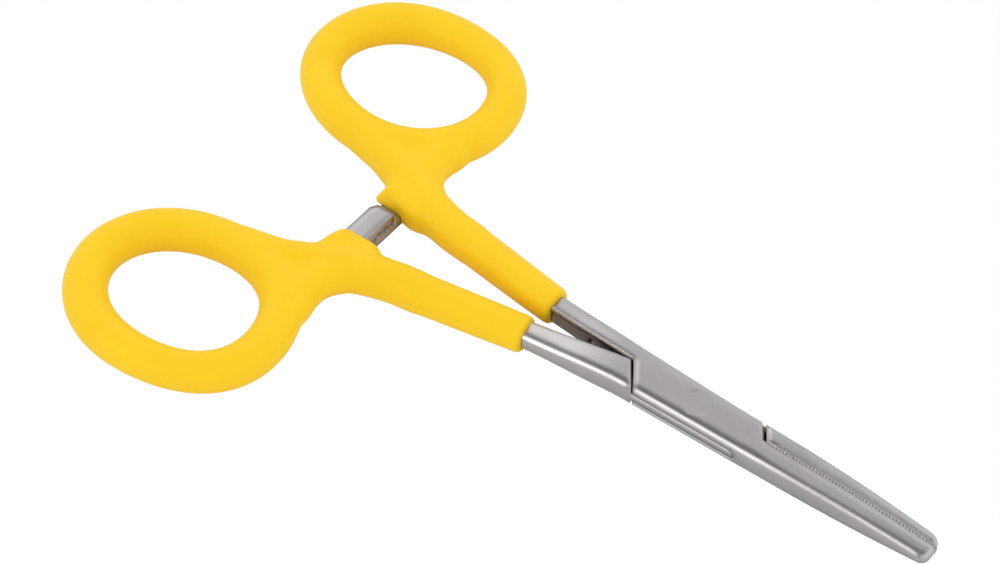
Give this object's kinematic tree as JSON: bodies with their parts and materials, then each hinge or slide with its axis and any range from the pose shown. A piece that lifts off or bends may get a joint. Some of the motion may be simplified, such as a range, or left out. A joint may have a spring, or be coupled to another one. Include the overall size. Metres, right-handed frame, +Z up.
{
  "type": "forceps",
  "caption": "Ring-handled locking forceps with a box lock, serrated straight jaws, a toothed ratchet and soft coated finger rings, closed.",
  "frame": {"origin": "where the pivot axis meets the flat under side of the box lock", "axes": "+X towards the jaw tips, +Y towards the finger ring of the slotted arm, +Z up along the pivot axis, out of the upper face"},
  "size_m": [0.1413, 0.0931, 0.007],
  "materials": {
    "steel": "satin polished stainless steel",
    "grip": "smooth soft yellow plastic coating"
  },
  "bodies": {
    "box_side": {"box_arm": "steel", "pivot_pin": "steel", "box_arm_grip": "grip"},
    "tenon_side": {"tenon_arm": "steel", "tenon_arm_grip": "grip"}
  },
  "joints": [
    {"name": "box_lock", "type": "hinge", "parent": "box_side", "child": "tenon_side", "pos_m": [0, 0, 0.0022], "axis": [0, 0, 1], "range_deg": [0, 60]}
  ]
}
